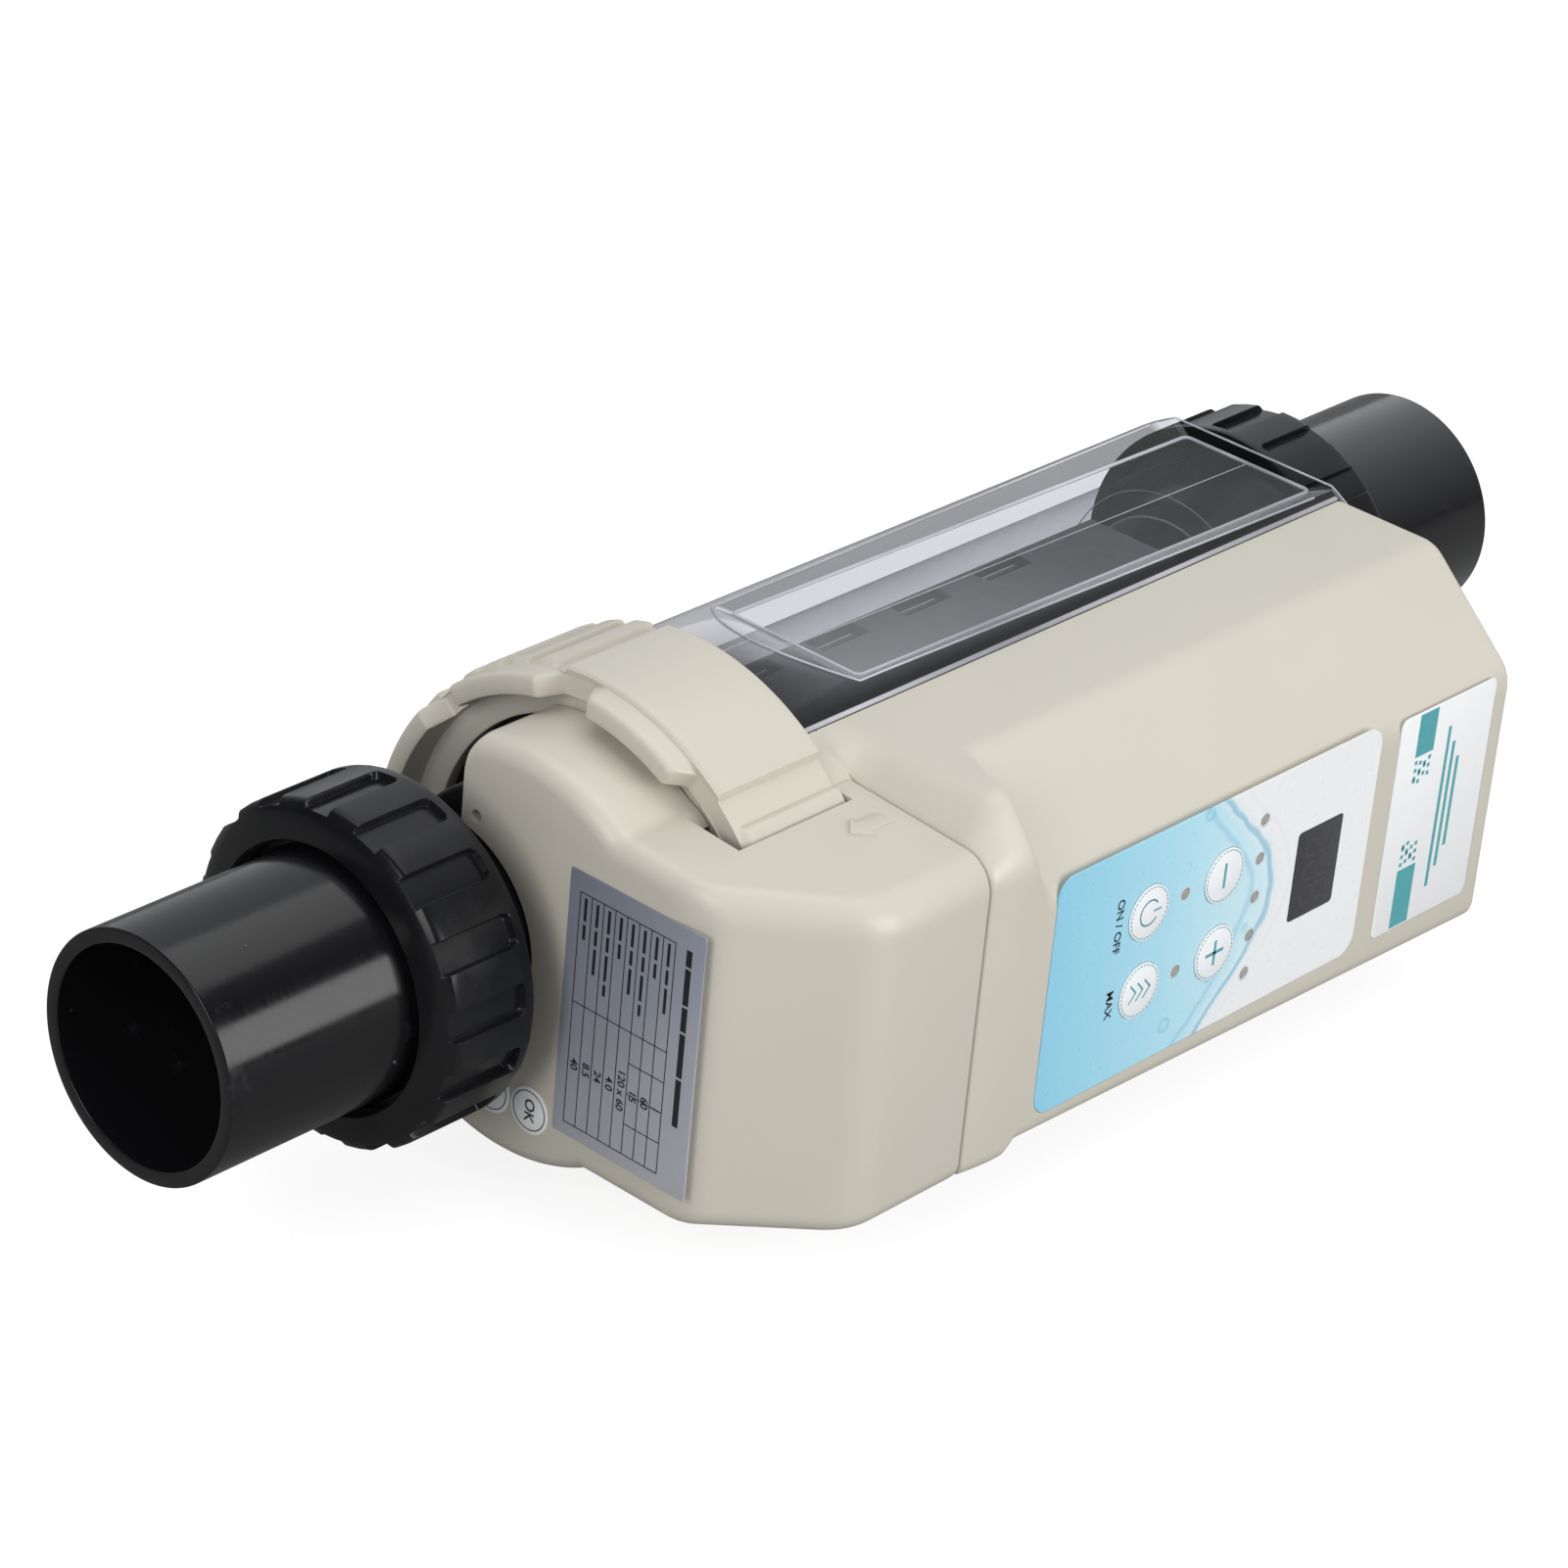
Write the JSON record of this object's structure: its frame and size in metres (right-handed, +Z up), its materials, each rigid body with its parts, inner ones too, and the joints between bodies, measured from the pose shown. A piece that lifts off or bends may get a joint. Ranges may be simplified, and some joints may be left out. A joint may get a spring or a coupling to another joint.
{
  "type": "salt chlorine generator",
  "caption": "Inline salt chlorine generator: clear electrolysis cell between two pipe unions, with a removable electrode head, a lock ring and a side control housing.",
  "frame": {"origin": "centre of the head end tail pipe's open end face", "axes": "+X along the pipe axis toward the far end, -Y toward the control panel, +Z up"},
  "size_m": [0.455, 0.1511, 0.1269],
  "materials": {
    "pipe_black": "polished",
    "nut_black": "satin",
    "head_black": "satin",
    "liner_black": "gloss",
    "seal_rubber": "matte",
    "clear_plastic": "clear",
    "beige_plastic": "satin",
    "silver_label": "printed",
    "white_sticker": "printed",
    "white_label": "printed",
    "titanium": "brushed",
    "coated_titanium": "matte",
    "holder_grey": "satin",
    "connector_grey": "satin",
    "overlay_blue": "printed film",
    "display_dark": "gloss",
    "board_green": "solder mask",
    "button_white": "satin",
    "indicator_grey": "translucent"
  },
  "bodies": {
    "cell_and_housing": {"clear_cell": "clear_plastic", "electronics_housing": "beige_plastic", "housing_liner": "liner_black", "control_overlay": "overlay_blue", "display_window": "display_dark", "display_module": "connector_grey", "circuit_board": "board_green", "power_supply_module": "connector_grey", "power_inlet": "head_black", "series_label": "white_label", "standby_switch": "connector_grey", "boost_switch": "connector_grey", "minus_switch": "connector_grey", "plus_switch": "connector_grey", "wiring_socket": "connector_grey", "far_end_tail_pipe": "pipe_black", "far_end_union_seal": "seal_rubber", "indicator_light_1": "indicator_grey", "indicator_light_2": "indicator_grey", "indicator_light_3": "indicator_grey", "indicator_light_4": "indicator_grey", "indicator_light_5": "indicator_grey", "indicator_light_6": "indicator_grey", "indicator_light_7": "indicator_grey"},
    "electrode_head": {"electrode_head": "head_black", "head_seal": "seal_rubber", "upper_electrode_holder": "holder_grey", "lower_electrode_holder": "holder_grey", "anode_terminal": "titanium", "cathode_terminal": "titanium", "flow_temperature_probe": "titanium", "head_cover": "beige_plastic", "rating_label": "silver_label", "approval_sticker": "white_sticker", "inspection_sticker": "white_sticker", "wiring_plug": "connector_grey", "head_end_tail_pipe": "pipe_black", "head_end_union_seal": "seal_rubber", "electrode_plate_1": "coated_titanium", "electrode_plate_2": "coated_titanium", "electrode_plate_3": "coated_titanium", "electrode_plate_4": "coated_titanium", "electrode_plate_5": "coated_titanium", "electrode_plate_6": "coated_titanium", "electrode_plate_7": "coated_titanium"},
    "lock_ring": {"lock_ring": "beige_plastic"},
    "head_end_nut": {"head_end_union_nut": "nut_black"},
    "far_end_nut": {"far_end_union_nut": "nut_black"},
    "standby_button": {"standby_button": "button_white"},
    "boost_button": {"boost_button": "button_white"},
    "minus_button": {"minus_button": "button_white"},
    "plus_button": {"plus_button": "button_white"}
  },
  "joints": [
    {"name": "electrode_withdrawal", "type": "slide", "parent": "cell_and_housing", "child": "electrode_head", "axis": [-1, 0, 0], "range_m": [0, 0.22]},
    {"name": "lock_ring_turn", "type": "hinge", "parent": "electrode_head", "child": "lock_ring", "pos_m": [0.1507, -0.02, 0], "axis": [-1, 0, 0], "range_deg": [0, 35]},
    {"name": "head_end_nut_turn", "type": "hinge", "parent": "electrode_head", "child": "head_end_nut", "pos_m": [0.0802, 0, 0], "axis": [1, 0, 0], "continuous": true},
    {"name": "far_end_nut_turn", "type": "hinge", "parent": "cell_and_housing", "child": "far_end_nut", "pos_m": [0.3748, 0, 0], "axis": [1, 0, 0], "continuous": true},
    {"name": "standby_button_press", "type": "slide", "parent": "cell_and_housing", "child": "standby_button", "axis": [0, 1, 0], "range_m": [0, 0.0004], "stiffness_N_per_m": 800, "springref_m": -0.0005},
    {"name": "boost_button_press", "type": "slide", "parent": "cell_and_housing", "child": "boost_button", "axis": [0, 1, 0], "range_m": [0, 0.0004], "stiffness_N_per_m": 800, "springref_m": -0.0005},
    {"name": "minus_button_press", "type": "slide", "parent": "cell_and_housing", "child": "minus_button", "axis": [0, 1, 0], "range_m": [0, 0.0004], "stiffness_N_per_m": 800, "springref_m": -0.0005},
    {"name": "plus_button_press", "type": "slide", "parent": "cell_and_housing", "child": "plus_button", "axis": [0, 1, 0], "range_m": [0, 0.0004], "stiffness_N_per_m": 800, "springref_m": -0.0005}
  ]
}
